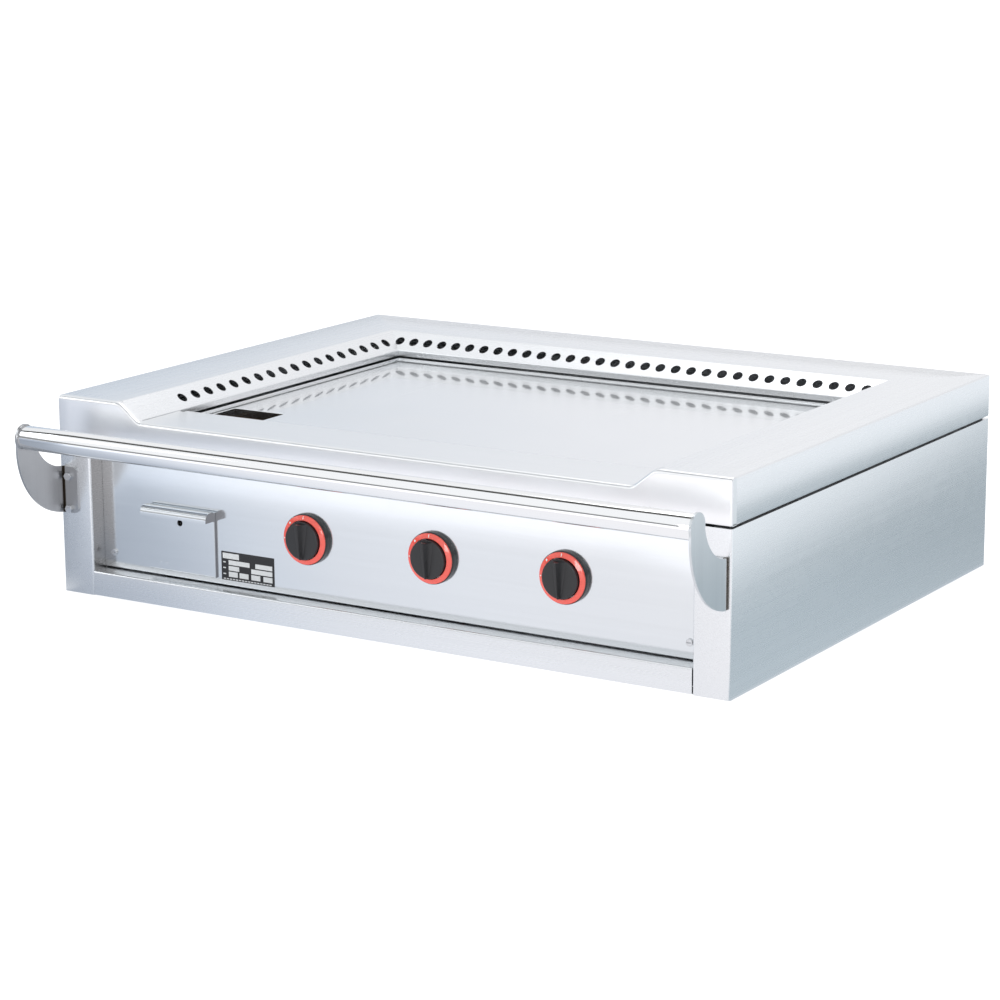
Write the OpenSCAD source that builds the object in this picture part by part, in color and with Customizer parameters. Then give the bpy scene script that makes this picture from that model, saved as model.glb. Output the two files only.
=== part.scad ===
// Counter-top gas flat top griddle: folded stainless cabinet, recessed griddle
// plate in a vented surround, three gas taps, grease drawer and front hand rail.
// Units are millimetres, +Z is up and the front faces -Y. The origin is the
// centre of the cabinet's footprint, on the surface that it stands on.
// Most modules work from the front left bottom corner of the cabinet and are
// shifted to the origin by from_corner().

/* [Cabinet] */
// Overall width of the cabinet and of the top surround
body_w = 1000; // [960:10:1100]
// Depth of the cabinet, front face to back
body_d = 750; // [730:5:800]
// Height of the lower cabinet, up to the shadow gap
cab_h = 205.5; // [203:0.5:212]
// Height of the shadow gap between the cabinet and the top surround
seam = 2.5; // [1.5:0.5:4]
// Thickness of the stainless sheet
t = 1.5; // [1:0.1:1.6]
// Outer radius of the bends in the sheet
bend_r = 2.5; // [1.8:0.1:3]
// Width of the front uprights
col_w = 50; // [44:1:54]
// Height of the front bottom rail
rail_h = 33; // [28:1:34]
// How far the control panel sits behind the front face
recess = 25; // [24:0.5:26]

/* [Surround] */
// Height of the top surround above the shadow gap
top_h = 58; // [57:0.5:64]
// Width of the flat rim at the left and right
rim_w = 100; // [92:1:104]
// Width of the flat rim at the back
rim_back = 109; // [100:1:112]
// Horizontal run of the sloping inner faces
slope_run = 30; // [28:1:32]
// Drop of the sloping inner faces
slope_drop = 23; // [21:1:24]
// Height of the upright lip below the slopes
lip_h = 8; // [7:0.5:9.5]
// Depth of the flat front strip, front face to its rear edge
strip_d = 97; // [92:1:100]
// Radius of the front edge of the surround
front_r = 5.5; // [5:0.5:9.5]
// Diameter of the exhaust holes in the slopes
vent_d = 14.5; // [10:0.5:15]
// Number of exhaust holes along each side slope
vents_side = 18; // [10:1:18]
// Number of exhaust holes along the back slope
vents_back = 32; // [20:1:32]

/* [Griddle plate] */
// Thickness of the griddle plate
plate_t = 12; // [9:1:12]
// Depth of the plate's surface below the rims
plate_down = 36; // [35:0.5:37]
// Height of the raised edge round the sides and back of the plate
edge_h = 2.2; // [1:0.1:2.4]
// Width of that raised edge
edge_w = 12; // [10:0.5:13]
// Width of the grease slot in the plate
slot_w = 82; // [60:1:84]
// Front to back length of the grease slot
slot_l = 70; // [40:1:72]

/* [Hand rail] */
// Outside diameter of the hand rail tube
tube_d = 31.8; // [25:0.1:34]
// Wall thickness of the hand rail tube
tube_wall = 1.5; // [1.2:0.1:2.5]
// Distance of the tube's centre in front of the cabinet
tube_out = 75; // [68:1:76]
// Height of the tube's centre
tube_z = 223; // [221:1:224]

/* [Controls] */
// Height of the knob axes
knob_z = 113; // [110:1:116]
// Position of the first knob axis from the left side
knob_x0 = 383; // [375:1:390]
// Distance between the knob axes
knob_pitch = 190; // [180:1:192]
// Diameter of the knob
knob_d = 50; // [44:1:50]
// Diameter of the coloured dial ring
ring_d = 64; // [60:1:66]
// Travel of the knob when it is pushed in
knob_push = 3; // [2:0.5:3]

/* [Grease drawer] */
// Left edge of the drawer front
drw_x0 = 129.4; // [128:0.2:131]
// Right edge of the drawer front
drw_x1 = 236.5; // [235:0.5:240]
// Length of the grease tray, front to back
tray_l = 184; // [120:1:190]

/* [Burners] */
// Distance between the burners
burner_pitch = 235; // [225:1:240]
// Outside diameter of the burner tubes
burner_d = 30; // [24:1:30]
// Height of the burner axes
burner_z = 150; // [148:1:152]

/* [Hidden] */
$fn = 48;

z0 = cab_h + seam;              // underside of the surround
zt = z0 + top_h;                // top of the rims
zs = zt - slope_drop - 1;       // top of the front strip
zl = zt - slope_drop - lip_h;   // bottom of the lip under the slopes
zp = zt - plate_down;           // top of the griddle plate
zb = zp - plate_t;              // underside of the griddle plate
px0 = rim_w + slope_run - 8;    // left edge of the griddle plate
px1 = body_w - px0;             // right edge of the griddle plate
py0 = strip_d - 7;              // front edge of the griddle plate
py1 = body_d - rim_back - slope_run + 9; // back edge of the griddle plate
slot_x = 146;                   // left edge of the grease slot
slot_y = 122;                   // front edge of the grease slot
pan_y = recess;                 // front face of the control panel
pan_z0 = rail_h + 1.2;          // bottom edge of the control panel
pan_z1 = cab_h - 5.5;           // top edge of the control panel
knob_x = [for (i = [0:2]) knob_x0 + i * knob_pitch];
burner_x = [for (i = [-1:1]) body_w / 2 + i * burner_pitch];
drw_z0 = 42.7;                  // bottom of the drawer front
drw_z1 = 129.5;                 // top of the drawer front
// Path of the drawer front and its hood, and the round front of the hood
hood = [[pan_y - 0.3, drw_z0], [pan_y - 5, drw_z0], [pan_y - 5, drw_z1],
    [pan_y - 20, drw_z1], [pan_y - 20, drw_z1 - 11]];
hood_bend = fillet(hood[2], hood[3], hood[4], 7.5, 8);
fb_x0 = px0 + 8;                // outside of the firebox, left
fb_x1 = px1 - 8;                // outside of the firebox, right
fb_y0 = 204;                    // outside of the firebox, front
fb_y1 = py1 - 8;                // outside of the firebox, back
fb_z0 = 126;                    // underside of the firebox floor
brk_r = 5.5;                    // outer bend radius of the rail brackets
man_y = 69;                     // manifold axis, from the front
man_z = knob_z - 37;            // manifold axis height
man_x = body_w - 95;            // gas riser axis at the right
steel = [0.78, 0.80, 0.82];
darksteel = [0.36, 0.37, 0.39];
brass = [0.80, 0.64, 0.30];
black = [0.09, 0.09, 0.10];
coral = [0.91, 0.27, 0.20];

module from_corner() { translate([-body_w / 2, -body_d / 2, 0]) children(); }
// Box from corner a to corner b
module box(a, b) { translate(a) cube(b - a); }
// Outline in XZ, extruded from y0 to y1
module ex_y(y0, y1) { translate([0, y1, 0]) rotate([90, 0, 0]) linear_extrude(y1 - y0) children(); }
// Outline in YZ, extruded from x0 to x1
module ex_x(x0, x1) { translate([x0, 0, 0]) rotate([90, 0, 90]) linear_extrude(x1 - x0) children(); }
// Cylinders along X, Y and Z
module cyl_x(y, z, x0, x1, r) { translate([x0, y, z]) rotate([0, 90, 0]) cylinder(h = x1 - x0, r = r); }
module cyl_y(x, z, y0, y1, r) { translate([x, y0, z]) rotate([-90, 0, 0]) cylinder(h = y1 - y0, r = r); }
module cyl_z(x, y, z0, z1, r) { translate([x, y, z0]) cylinder(h = z1 - z0, r = r); }
// Mirror the left side to the right side
module to_right() { translate([body_w, 0, 0]) mirror([1, 0, 0]) children(); }

// A folded sheet: the outline of a bent strip whose outer face follows the
// points p and whose thickness is to their left
function unit(v) = v / norm(v);
function lnorm(v) = [-v[1], v[0]];
function off_pt(p, i, th) =
    i == 0 ? p[0] + th * lnorm(unit(p[1] - p[0])) :
    i == len(p) - 1 ? p[i] + th * lnorm(unit(p[i] - p[i - 1])) :
    let (a = lnorm(unit(p[i] - p[i - 1])), b = lnorm(unit(p[i + 1] - p[i])), m = unit(a + b))
    p[i] + th * m / (m * a);
// Fillet of radius r at corner b between a and c, as n + 1 points
function fillet(a, b, c, r, n) =
    let (u = unit(a - b), v = unit(c - b), h = acos(u * v) / 2, d = r / tan(h),
         o = b + unit(u + v) * r / sin(h), p = b + d * u, q = b + d * v,
         a0 = atan2(p[1] - o[1], p[0] - o[0]), a1r = atan2(q[1] - o[1], q[0] - o[0]),
         da = a1r - a0 > 180 ? a1r - a0 - 360 : a1r - a0 < -180 ? a1r - a0 + 360 : a1r - a0)
    [for (i = [0:n]) o + r * [cos(a0 + da * i / n), sin(a0 + da * i / n)]];
// The same outline with every bend rounded to the outer bend radius
function bends(p, r, n) = len(p) < 3 ? p : concat([p[0]],
    [for (i = [1:len(p) - 2]) each fillet(p[i - 1], p[i], p[i + 1], r, n)], [p[len(p) - 1]]);
module sheet(p, th, r = bend_r, n = 4) {
    q = r > 0 ? bends(p, r, n) : p;
    polygon(concat(q, [for (i = [len(q) - 1:-1:0]) off_pt(q, i, th)]));
}

// ---------------------------------------------------------------- cabinet

// Bottom sheet with upturned edges and air slots
module base_pan() {
    color(steel) from_corner() difference() {
        union() {
            box([t, 28.6, 0], [body_w - t, body_d - 2 * t, t]);
            box([t, 28.6, 0], [2 * t, body_d - 2 * t, 14]);
            box([body_w - 2 * t, 28.6, 0], [body_w - t, body_d - 2 * t, 14]);
            box([t, body_d - 3 * t, 0], [body_w - t, body_d - 2 * t, 14]);
        }
        for (i = [0:4], j = [0:5])
            box([300 + i * 84, 290 + j * 44, -1], [364 + i * 84, 300 + j * 44, t + 1]);
    }
}

// Side sheet, front upright, return and panel flange, folded from one sheet
module side_shape() {
    difference() {
        union() {
            linear_extrude(cab_h) sheet(concat(bends([[0, body_d - t], [0, 0], [col_w, 0],
                [col_w, pan_y + t + 0.1]], bend_r, 4), [[col_w + 30, pan_y + t + 0.1]]), t, 0);
            box([t / 2, 2 * t, cab_h - t], [25, body_d - t, cab_h]);
            box([0, body_d - t, 0], [22, body_d, cab_h]);
        }
        box([col_w + 0.2, pan_y, -1], [col_w + 31, pan_y + 5, pan_z0 + 3.5]);
        cyl_y(66.8, 55.7, pan_y, pan_y + 10, 2.2);
        for (z = [132, 176]) rotate(0) cyl_y(16, z - 17.5, -1, 4, 3.2);
        for (z = [40, cab_h - 45]) cyl_y(12, z, body_d - 5, body_d + 1, 1.9);
    }
}
module side_panel_left() { color(steel) from_corner() side_shape(); }
module side_panel_right() { color(steel) from_corner() to_right() side_shape(); }

// Back sheet with a top flange, louvre slots and the gas inlet hole
module back_panel() {
    color(steel) from_corner() difference() {
        union() {
            box([t, body_d - 2 * t, t], [body_w - t, body_d - t, cab_h - t]);
            box([25, body_d - 25, cab_h - t], [body_w - 25, body_d - t, cab_h]);
        }
        for (i = [0:8], j = [0:2])
            box([190 + i * 64, body_d - 6, 120 + j * 18], [234 + i * 64, body_d, 126 + j * 18]);
        cyl_y(man_x, man_z, body_d - 6, body_d, 14.5);
        for (x = [12, body_w - 12], z = [40, cab_h - 45]) cyl_y(x, z, body_d - 6, body_d, 1.9);
    }
}

// Four pan-head screws through the back flanges
module back_screws() {
    color(steel) from_corner()
        for (x = [12, body_w - 12], z = [40, cab_h - 45]) {
            cyl_y(x, z, body_d - 10, body_d + 0.4, 1.8);
            cyl_y(x, z, body_d, body_d + 2.2, 3.8);
        }
}

// Bottom cross member between the uprights
module front_bottom_rail() {
    color(steel) from_corner() ex_x(col_w, body_w - col_w - 0.6)
        sheet([[pan_y + 1, 0], [0, 0], [0, rail_h], [pan_y + 1.2, rail_h]], -t);
}

// Top cross member behind the hand rail
module front_top_rail() {
    color(steel) from_corner() ex_x(col_w, body_w - col_w)
        sheet([[pan_y - 0.2, cab_h - 20], [0, cab_h - 20], [0, cab_h], [24, cab_h]], -t);
}

// Recessed control panel with the drawer opening and the stem holes
module control_panel() {
    color([0.83, 0.86, 0.89]) from_corner() difference() {
        ex_x(col_w + 0.2, body_w - col_w - 0.2)
            sheet([[pan_y + 20, pan_z0], [pan_y, pan_z0], [pan_y, pan_z1], [pan_y + 18, pan_z1]], -t);
        box([drw_x0 + 4.6, pan_y - 5, drw_z0 + 3], [drw_x1 - 4.6, pan_y + 5, drw_z1 - 12]);
        for (x = knob_x) cyl_y(x, knob_z, pan_y - 5, pan_y + 5, 6);
        for (x = [66.8, body_w - 66.8]) cyl_y(x, 55.7, pan_y - 5, pan_y + 5, 2.2);
        box([col_w - 1, pan_y + t, pan_z0 - 1], [col_w + 31, pan_y + 30, pan_z0 + 4]);
        box([body_w - col_w - 31, pan_y + t, pan_z0 - 1], [body_w - col_w + 1, pan_y + 30, pan_z0 + 4]);
        box([col_w - 1, pan_y + t, pan_z1 - 4], [col_w + 31, pan_y + 30, pan_z1 + 1]);
        box([body_w - col_w - 31, pan_y + t, pan_z1 - 4], [body_w - col_w + 1, pan_y + 30, pan_z1 + 1]);
    }
}

// Two dome-head screws that hold the control panel
module panel_screws() {
    color(steel) from_corner()
        for (x = [66.8, body_w - 66.8]) {
            cyl_y(x, 55.7, pan_y - 0.2, pan_y + 9, 2);
            difference() {
                cyl_y(x, 55.7, pan_y - 2.8, pan_y, 4.5);
                box([x - 3, pan_y - 3, 55.2], [x + 3, pan_y - 1.6, 56.2]);
            }
        }
}

// ---------------------------------------------------------------- surround

// Flat bar frame in the shadow gap that carries the surround
module seat_frame() {
    color(darksteel) from_corner() difference() {
        box([6, 6, cab_h], [body_w - 6, body_d - 6, z0]);
        box([30, 30, cab_h - 1], [body_w - 30, body_d - 30, z0 + 1]);
    }
}

// Cross section of a side rim: skirt, flat rim, slope and lip
function rim_path(w) = [[20, z0], [0, z0], [0, zt], [w, zt],
    [w + slope_run, zt - slope_drop], [w + slope_run, zl]];
slope_a = atan2(slope_drop, slope_run);
vent_s = 0.52;  // place of the vent row down the slope, 0 at the top and 1 at the bottom

module vent(at) {
    // at: [x, z] on a left slope; the hole is square to the slope
    translate([at[0], 0, at[1]]) rotate([0, 90 - slope_a, 0]) translate([0, 0, -6]) cylinder(h = 12, d = vent_d);
}

// Left rim, cut to the mitre at the back left corner
module rim_shape() {
    difference() {
        intersection() {
            ex_y(11, body_d) sheet(rim_path(rim_w), -t);
            linear_extrude(zt + 1) polygon([[-1, 0], [rim_w + slope_run + 1, 0],
                [rim_w + slope_run + 1, body_d - rim_back - slope_run - 1],
                [rim_w, body_d - rim_back], [0, body_d], [-1, body_d]]);
        }
        for (i = [0:vents_side - 1])
            translate([0, 117 + i * (body_d - 267) / (vents_side - 1), 0])
                vent([rim_w + vent_s * slope_run, zt - vent_s * slope_drop]);
    }
}
module rim_left() { color(steel) from_corner() rim_shape(); }
module rim_right() { color(steel) from_corner() to_right() rim_shape(); }

// Back rim, mitred at both ends
module rim_back_shape() {
    difference() {
        intersection() {
            translate([0, body_d, 0]) rotate([0, 0, -90]) ex_y(0, body_w) sheet(rim_path(rim_back), -t);
            linear_extrude(zt + 1) polygon([[0, body_d + 1], [0, body_d], [rim_w, body_d - rim_back],
                [rim_w + slope_run + 1, body_d - rim_back - slope_run - 1],
                [body_w - rim_w - slope_run - 1, body_d - rim_back - slope_run - 1],
                [body_w - rim_w, body_d - rim_back], [body_w, body_d], [body_w, body_d + 1]]);
        }
        for (i = [0:vents_back - 1])
            translate([rim_w + 24 + i * (body_w - 2 * rim_w - 48) / (vents_back - 1), body_d, 0])
                rotate([0, 0, -90]) vent([rim_back + vent_s * slope_run, zt - vent_s * slope_drop]);
    }
}
module rim_back() { color(steel) from_corner() rim_back_shape(); }

// Top edge of the front: rim, slope, strip, slope, rim
tA = [0, zt]; tB = [rim_w + 2, zt]; tC = [rim_w + slope_run + 2, zs];
tD = [body_w - rim_w - slope_run - 2, zs]; tE = [body_w - rim_w - 2, zt]; tF = [body_w, zt];
top_edge = concat([tA], fillet(tA, tB, tC, 24, 5), fillet(tB, tC, tD, 14, 4),
    fillet(tC, tD, tE, 14, 4), fillet(tD, tE, tF, 24, 5), [tF]);
edge_back = 11;
function edge_section(z) = concat([[0, z0]],
    [for (a = [0:15:90]) [front_r - front_r * cos(a), z - front_r + front_r * sin(a)]],
    [[edge_back, z], [edge_back, z - t]],
    [for (a = [90:-15:0]) [front_r - (front_r - t) * cos(a), z - front_r + (front_r - t) * sin(a)]],
    [[t, z0]]);

// Front apron with the rounded edge, the flat strip and its rear lip
module front_trim() {
    n = len(edge_section(zt));
    m = len(top_edge);
    pts = [for (p = top_edge, s = edge_section(p[1])) [p[0], s[0], s[1]]];
    faces = concat([[for (k = [n - 1:-1:0]) k]], [[for (k = [0:n - 1]) (m - 1) * n + k]],
        [for (i = [0:m - 2], k = [0:n - 1]) let (k2 = (k + 1) % n) [i * n + k, (i + 1) * n + k2, (i + 1) * n + k]],
        [for (i = [0:m - 2], k = [0:n - 1]) let (k2 = (k + 1) % n) [i * n + k, i * n + k2, (i + 1) * n + k2]]);
    color(steel) from_corner() {
        polyhedron(points = pts, faces = faces);
        for (x = [0, body_w - t]) ex_x(x, x + t)
            polygon(concat([[0, z0]], [for (a = [0:15:90])
                [front_r - front_r * cos(a), zt - front_r + front_r * sin(a)]], [[edge_back, zt], [edge_back, z0]]));
        ex_x(rim_w + slope_run + 10, body_w - rim_w - slope_run - 10)
            sheet([[edge_back - 1, zs], [strip_d, zs], [strip_d, zp]], -t);
        ex_x(rim_w + slope_run + 1.2, rim_w + slope_run + 10.1) sheet([[edge_back + 1, zs], [strip_d - 9, zs]], -t);
        ex_x(body_w - rim_w - slope_run - 10.1, body_w - rim_w - slope_run - 1.2) sheet([[edge_back + 1, zs], [strip_d - 9, zs]], -t);
        box([22, 0.5, z0], [body_w - 22, 20, z0 + t]);
    }
}

// ---------------------------------------------------------------- plate and heat

// Thick griddle plate with a low raised edge at the sides and back, and the
// grease slot at its front left
module griddle_plate() {
    color([0.62, 0.64, 0.66]) from_corner() difference() {
        union() {
            box([px0, py0, zb], [px1, py1, zp]);
            difference() {
                box([px0, py0, zp - 1], [px1, py1, zp + edge_h]);
                box([px0 + edge_w, py0 - 1, zp - 2], [px1 - edge_w, py1 - edge_w - 1, zp + edge_h + 1]);
            }
        }
        box([slot_x, slot_y, zb - 1], [slot_x + slot_w, slot_y + slot_l, zp + 1]);
    }
}

// Angle section under the front edge of the plate
module front_bearer() {
    color(darksteel) from_corner() ex_x(30, body_w - 30)
        sheet([[py0 + 2, zb - 32], [py0 + 2, zb], [py0 + 20, zb]], -2);
}

// Burner box with a supporting flange, exhaust ports and burner holes
module firebox() {
    color(darksteel) from_corner() difference() {
        union() {
            box([fb_x0, fb_y0, fb_z0], [fb_x1, fb_y1, zb]);
            box([fb_x0 - 8, fb_y0 - 8, zb - 2], [fb_x1 + 8, fb_y1 + 8, zb]);
        }
        box([fb_x0 + 2, fb_y0 + 2, fb_z0 + 2], [fb_x1 - 2, fb_y1 - 2, zb + 1]);
        for (i = [0:6]) cyl_x(fb_y0 + 45 + i * 55, zb - 18, fb_x0 - 5, fb_x1 + 5, 10);
        for (i = [0:11]) cyl_y(fb_x0 + 40 + i * (fb_x1 - fb_x0 - 80) / 11, zb - 18, fb_y1 - 6, fb_y1 + 5, 10);
        for (x = burner_x) cyl_y(x, burner_z, fb_y0 - 5, fb_y0 + 6, 18);
    }
}

// Four channel posts between the base pan and the firebox
module firebox_stands() {
    color(darksteel) from_corner()
        for (x = [150, body_w - 180], y = [230, 560]) difference() {
            box([x, y, t], [x + 30, y + 30, fb_z0]);
            box([x + 2, y + 2, 0], [x + 28, y + 31, fb_z0 + 1]);
        }
}

// Hopper under the grease slot that narrows to a spout over the tray
module grease_chute() {
    x0 = slot_x; x1 = slot_x + slot_w; y0 = slot_y; y1 = slot_y + slot_l;
    color(steel) from_corner() difference() {
        union() {
            box([x0 - t, y0 - t, 180], [x1 + t, y1 + t, zb]);
            box([x0 + 10, y0 + 8, 118], [x1 - 12, y1 - 8, 181]);
        }
        box([x0, y0, 180 + t], [x1, y1, zb + 1]);
        box([x0 + 10 + t, y0 + 8 + t, 117], [x1 - 12 - t, y1 - 8 - t, 190]);
    }
}

// ---------------------------------------------------------------- grease drawer

// Drawer front, folded, with the hood-shaped pull and the finger hole
module drawer_front() {
    color([0.83, 0.86, 0.89]) from_corner() difference() {
        union() {
            ex_x(drw_x0, drw_x1) sheet(concat([hood[0]], fillet(hood[0], hood[1], hood[2], bend_r, 4),
                fillet(hood[1], hood[2], hood[3], bend_r, 4), hood_bend, [hood[4]]), -t, 0);
            for (x = [drw_x0, drw_x1 - t]) {
                box([x, pan_y - 4, drw_z0], [x + t, pan_y - 0.3, drw_z1]);
                ex_x(x, x + t) polygon(concat([[pan_y - 4.5, drw_z1 - 11], [pan_y - 4.5, drw_z1 - 0.5],
                    [pan_y - 8, drw_z1]], hood_bend, [hood[4]]));
            }
        }
        cyl_y(181.5, 110, pan_y - 10, pan_y - 1, 4.25);
    }
}

// Open grease tray behind the drawer front
module drawer_box() {
    x0 = drw_x0 + 5.8; x1 = drw_x1 - 5.8; y0 = pan_y - 5 + t; y1 = y0 + tray_l;
    color(steel) from_corner() difference() {
        box([x0, y0, drw_z0 + 5], [x1, y1, 112]);
        box([x0 + 1.2, y0 + 1.2, drw_z0 + 6.2], [x1 - 1.2, y1 - 1.2, 113]);
        cyl_y(181.5, 110, y0 - 3, y0 + 3, 4.25);
    }
}

// Runners that carry the tray, each a stand with a ledge
module runner_shape(x, s) {
    // x: inner face of the stand, s: direction of the ledge
    module bar(xa, xb, za, zb) { box([min(xa, xb), 46, za], [max(xa, xb), 212, zb]); }
    bar(x, x - s * t, t, 70);
    bar(x - s * 0.5, x - s * 18, t, 2 * t);
    bar(x - s * 0.5, x + s * 16, drw_z0 + 3.2, drw_z0 + 4.7);
}
module drawer_runner_left() { color(darksteel) from_corner() runner_shape(drw_x0 + 4.6, 1); }
module drawer_runner_right() { color(darksteel) from_corner() runner_shape(drw_x1 - 4.6, -1); }

// ---------------------------------------------------------------- gas parts

// U-shaped bar burner: mixing tube, cross tube and two legs with flame ports
module burner(x) {
    r = burner_d / 2; leg = 58; y0 = fb_y0 - 40; yc = fb_y0 + 38; y1 = fb_y1 - 26;
    color(darksteel) from_corner() difference() {
        union() {
            cyl_y(x, burner_z, y0, yc, 17);
            cyl_x(yc, burner_z, x - leg, x + leg, r);
            for (s = [-1, 1]) {
                cyl_y(x + s * leg, burner_z, yc, y1, r);
                translate([x + s * leg, yc, burner_z]) sphere(r = r);
            }
        }
        cyl_y(x, burner_z, y0 - 1, yc, 14);
        cyl_x(yc, burner_z, x - leg, x + leg, r - 1.5);
        for (s = [-1, 1]) {
            cyl_y(x + s * leg, burner_z, yc, y1 - 2, r - 1.5);
            for (i = [0:13]) cyl_z(x + s * leg, yc + 24 + i * (y1 - yc - 48) / 13, burner_z + 5, burner_z + r + 2, 2);
        }
    }
}
module burner_1() { burner(burner_x[0]); }
module burner_2() { burner(burner_x[1]); }
module burner_3() { burner(burner_x[2]); }

// Two bars on the firebox floor that carry the burners
module burner_supports() {
    color(darksteel) from_corner()
        for (y = [fb_y0 + 62, fb_y1 - 60])
            box([burner_x[0] - 90, y, fb_z0 + 2], [burner_x[2] + 90, y + 18, burner_z - burner_d / 2]);
}

// Three brass gas jets, one in front of each mixing tube
module injectors() {
    color(brass) from_corner()
        for (x = burner_x) difference() {
            union() {
                translate([x, fb_y0 - 60, burner_z]) rotate([-90, 0, 0]) cylinder(h = 14, r = 9, $fn = 6);
                cyl_y(x, burner_z, fb_y0 - 47, fb_y0 - 36, 4);
            }
            cyl_y(x, burner_z, fb_y0 - 61, fb_y0 - 52, 4);
            cyl_y(x, burner_z, fb_y0 - 55, fb_y0 - 35, 1);
        }
}

// Gas tube from a tap's outlet to its jet, with three elbow fittings
module feed_tube(i) {
    xa = knob_x[i]; xb = burner_x[i]; y = 98; r = 4; re = 5.2;
    color(brass) from_corner() {
        cyl_y(xa, knob_z, 86.2, y, r);
        cyl_x(y, knob_z, xb, xa, r);
        cyl_z(xb, y, knob_z, burner_z, r);
        cyl_y(xb, burner_z, y, fb_y0 - 60, r);
        for (p = [[xa, y, knob_z], [xb, y, knob_z], [xb, y, burner_z]]) translate(p) sphere(r = re);
    }
}
module feed_tube_1() { feed_tube(0); }
module feed_tube_2() { feed_tube(1); }
module feed_tube_3() { feed_tube(2); }

// Supply pipe across the front and back along the right side
module gas_manifold() {
    color(brass) from_corner() difference() {
        union() {
            cyl_x(man_y, man_z, knob_x[0] - 50, man_x, 13);
            cyl_y(man_x, man_z, man_y, body_d - 22, 13);
            translate([man_x, man_y, man_z]) sphere(r = 13);
        }
        cyl_x(man_y, man_z, knob_x[0] - 48, man_x, 10.5);
        cyl_y(man_x, man_z, man_y, body_d - 21, 10.5);
        for (x = knob_x) cyl_z(x, man_y, man_z, man_z + 16, 4);
    }
}

// Male inlet at the back for the gas hose, with its hexagon
module gas_inlet() {
    color(brass) from_corner() difference() {
        union() {
            translate([man_x, body_d - 22, man_z]) rotate([-90, 0, 0]) cylinder(h = 12, r = 17.5, $fn = 6);
            cyl_y(man_x, man_z, body_d - 11, body_d, 14);
            cyl_y(man_x, man_z, body_d - 1, body_d + 24, 13.2);
        }
        cyl_y(man_x, man_z, body_d - 23, body_d + 25, 9.5);
    }
}

// Gas tap body with its bonnet, plug chamber, inlet foot and outlet
module gas_valve(x) {
    color(brass) from_corner() difference() {
        union() {
            cyl_y(x, knob_z, 40, 46, 15);
            cyl_y(x, knob_z, 45, 80, 12.5);
            cyl_y(x, knob_z, 79, 86.2, 7);
            cyl_z(x, man_y, man_z + 5, knob_z - 4, 9);
        }
        cyl_y(x, knob_z, 39, 50, 4.05);
        cyl_y(x, knob_z, 46, 76, 9.05);
        cyl_y(x, knob_z, 75, 87, 3.5);
        cyl_z(x, man_y, man_z, knob_z, 4);
        cyl_x(man_y, man_z, x - 20, x + 20, 13);
    }
}
module gas_valve_1() { gas_valve(knob_x[0]); }
module gas_valve_2() { gas_valve(knob_x[1]); }
module gas_valve_3() { gas_valve(knob_x[2]); }

// Turning plug inside the tap, with the socket for the stem's flat end
module valve_plug(x) {
    color(brass) from_corner() difference() {
        cyl_y(x, knob_z, 55, 75.5, 9);
        difference() {
            cyl_y(x, knob_z, 54, 66, 3.1);
            box([x - 4, 53, knob_z + 2.1], [x + 4, 67, knob_z + 4]);
        }
        cyl_y(x, knob_z, 65, 77, 3.1);
        cyl_x(man_y, knob_z, x - 10, x, 3);
    }
}
module valve_plug_1() { valve_plug(knob_x[0]); }
module valve_plug_2() { valve_plug(knob_x[1]); }
module valve_plug_3() { valve_plug(knob_x[2]); }

// Stem with its collar; the rear end has a flat that drives the plug
module valve_stem(x) {
    color([0.7, 0.7, 0.72]) from_corner() {
        cyl_y(x, knob_z, 8, 47, 4);
        cyl_y(x, knob_z, 46.3, 48, 7.5);
        difference() {
            cyl_y(x, knob_z, 47.5, 61, 3);
            box([x - 4, 48, knob_z + 2], [x + 4, 62, knob_z + 4]);
        }
    }
}
module valve_stem_1() { valve_stem(knob_x[0]); }
module valve_stem_2() { valve_stem(knob_x[1]); }
module valve_stem_3() { valve_stem(knob_x[2]); }

// Compression spring round the stem: a coil of round wire
module return_spring(x) {
    turns = 2.5; rings = 50; sides = 6; rw = 0.45; rc = 5.6; y0 = 48.5; y1 = 54.5;
    pts = [for (i = [0:rings]) let (a = 360 * turns * i / rings, y = y0 + (y1 - y0) * i / rings)
        for (k = [0:sides - 1]) let (b = 360 * k / sides, r = rc + rw * cos(b))
            [x + r * cos(a), y + rw * sin(b), knob_z + r * sin(a)]];
    faces = concat([[for (k = [0:sides - 1]) k]], [[for (k = [sides - 1:-1:0]) rings * sides + k]],
        [for (i = [0:rings - 1], k = [0:sides - 1]) let (k2 = (k + 1) % sides)
            [i * sides + k, (i + 1) * sides + k, (i + 1) * sides + k2]],
        [for (i = [0:rings - 1], k = [0:sides - 1]) let (k2 = (k + 1) % sides)
            [i * sides + k, (i + 1) * sides + k2, i * sides + k2]]);
    color(steel) from_corner() polyhedron(points = pts, faces = faces);
}
module return_spring_1() { return_spring(knob_x[0]); }
module return_spring_2() { return_spring(knob_x[1]); }
module return_spring_3() { return_spring(knob_x[2]); }

// ---------------------------------------------------------------- controls

// Knob: round skirt with a wedge grip, wide and tall at the top
module knob(x) {
    r = knob_d / 2;
    color(black) from_corner() difference() {
        union() {
            cyl_y(x, knob_z, 9.5, 20.5, r);
            hull() {
                translate([x, 10, knob_z]) rotate([90, 0, 0]) linear_extrude(1)
                    polygon([[-8.5, r - 2.6], [8.5, r - 2.6], [1.6, -r + 1], [-1.6, -r + 1]]);
                translate([x - 2.2, -2.5, knob_z + r - 5]) cube([4.4, 0.5, 2]);
                translate([x - 1, 3, knob_z - r + 1.5]) cube([2, 0.5, 1]);
            }
        }
        cyl_y(x, knob_z, 8, 22, 4);
    }
}
module knob_1() { knob(knob_x[0]); }
module knob_2() { knob(knob_x[1]); }
module knob_3() { knob(knob_x[2]); }

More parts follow.
